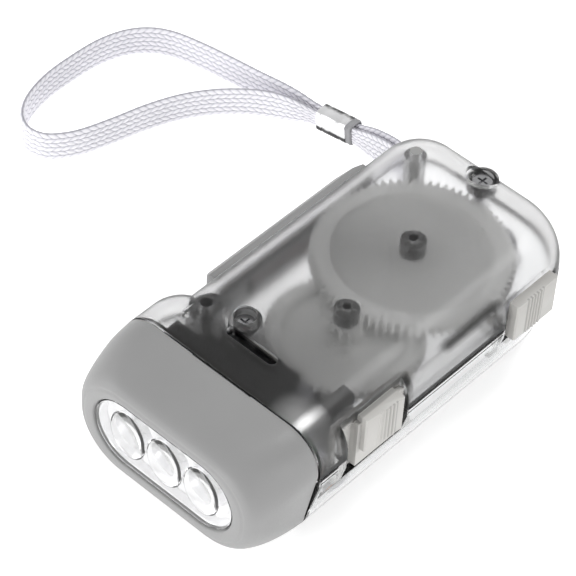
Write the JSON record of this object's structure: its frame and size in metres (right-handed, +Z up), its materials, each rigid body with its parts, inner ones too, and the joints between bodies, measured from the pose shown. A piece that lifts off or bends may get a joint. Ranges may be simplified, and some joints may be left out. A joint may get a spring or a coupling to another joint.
{
  "type": "squeeze-lever dynamo flashlight",
  "caption": "Hand-held dynamo torch with a side squeeze lever, gear train under a smoky lid, oblong lens in a grey head, sliding power switch, lever lock and wrist strap.",
  "frame": {"origin": "on the flat resting face of the bottom shell, at the middle of the body's width, 49.2 mm behind the front rim", "axes": "+Y from the lens to the tail, +X towards the side with the switches, +Z up from the resting face"},
  "size_m": [0.1219, 0.0995, 0.027],
  "materials": {
    "bottom_shell": "clear moulded plastic",
    "top_shell": "smoky translucent moulded plastic",
    "head_bezel": "satin grey moulded plastic",
    "lens": "clear polished plastic",
    "reflector": "metallised plastic",
    "leds": "clear epoxy",
    "circuit_board": "green solder mask",
    "board_cover": "black moulded plastic",
    "diodes": "orange glass bodies",
    "slide_switch": "tinned steel can",
    "switch_stem": "black moulded plastic",
    "power_switch": "light warm grey moulded plastic, ribbed",
    "lock_slide": "light warm grey moulded plastic, ribbed",
    "squeeze_lever": "satin grey moulded plastic",
    "lever_pivot_pin": "plain steel",
    "lever_spring": "plain steel",
    "drive_gear": "milky acetal",
    "drive_axle": "plain steel",
    "step_gear": "milky acetal",
    "step_axle": "plain steel",
    "clutch_pinion": "milky acetal",
    "clutch_pawls": "stamped steel",
    "flywheel": "turned steel",
    "magnet_ring": "dark sintered ferrite",
    "rotor_axle": "plain steel",
    "stator_core": "stamped steel",
    "coil_bobbin": "white moulded plastic",
    "coil_winding": "enamelled copper wire",
    "button_cells": "nickel-plated steel cans",
    "cell_contacts": "plated spring strip",
    "lead_wires": "red insulation",
    "shell_screws": "plated screws",
    "strap_pin": "plain steel",
    "strap_ferrule": "plated sheet metal",
    "wrist_strap": "pale woven band"
  },
  "bodies": {
    "body": {"bottom_shell": "bottom_shell", "top_shell": "top_shell", "head_bezel": "head_bezel", "lens": "lens", "reflector": "reflector", "leds": "leds", "circuit_board": "circuit_board", "board_cover": "board_cover", "diodes": "diodes", "slide_switch": "slide_switch", "lever_pivot_pin": "lever_pivot_pin", "lever_spring": "lever_spring", "drive_axle": "drive_axle", "step_axle": "step_axle", "rotor_axle": "rotor_axle", "stator_core": "stator_core", "coil_bobbin": "coil_bobbin", "coil_winding": "coil_winding", "button_cells": "button_cells", "cell_contacts": "cell_contacts", "lead_wires": "lead_wires", "shell_screws": "shell_screws", "strap_pin": "strap_pin", "strap_ferrule": "strap_ferrule", "wrist_strap": "wrist_strap"},
    "lever": {"squeeze_lever": "squeeze_lever"},
    "drive": {"drive_gear": "drive_gear"},
    "step": {"step_gear": "step_gear"},
    "clutch": {"clutch_pinion": "clutch_pinion"},
    "rotor": {"flywheel": "flywheel", "magnet_ring": "magnet_ring", "clutch_pawls": "clutch_pawls"},
    "power": {"power_switch": "power_switch", "switch_stem": "switch_stem"},
    "lock": {"lock_slide": "lock_slide"}
  },
  "joints": [
    {"name": "lever_hinge", "type": "hinge", "parent": "body", "child": "lever", "pos_m": [-0.01484, -0.02232, 0.013], "axis": [0, 0, 1], "range_deg": [0, 22]},
    {"name": "drive_spin", "type": "hinge", "parent": "body", "child": "drive", "pos_m": [0.00162, 0.01762, 0.0208], "axis": [0, 0, 1], "range_deg": [-215.6, 0]},
    {"name": "step_spin", "type": "hinge", "parent": "body", "child": "step", "pos_m": [0.00452, -0.00469, 0.0174], "axis": [0, 0, 1], "range_deg": [0, 1401.4]},
    {"name": "clutch_spin", "type": "hinge", "parent": "body", "child": "clutch", "pos_m": [0.0089, -0.02163, 0.0174], "axis": [0, 0, 1], "range_deg": [-8408.4, 0]},
    {"name": "rotor_spin", "type": "hinge", "parent": "body", "child": "rotor", "pos_m": [0.0089, -0.02163, 0.0126], "axis": [0, 0, 1], "continuous": true},
    {"name": "power_slide", "type": "slide", "parent": "body", "child": "power", "axis": [0, -1, 0], "range_m": [0, 0.0032]},
    {"name": "lock_slide", "type": "slide", "parent": "body", "child": "lock", "axis": [0, -1, 0], "range_m": [0, 0.0015]}
  ],
  "couplings": [
    {"joint": "drive_spin", "follows": "lever_hinge", "ratio": -9.8},
    {"joint": "step_spin", "follows": "lever_hinge", "ratio": 63.7},
    {"joint": "clutch_spin", "follows": "lever_hinge", "ratio": -382.2}
  ]
}
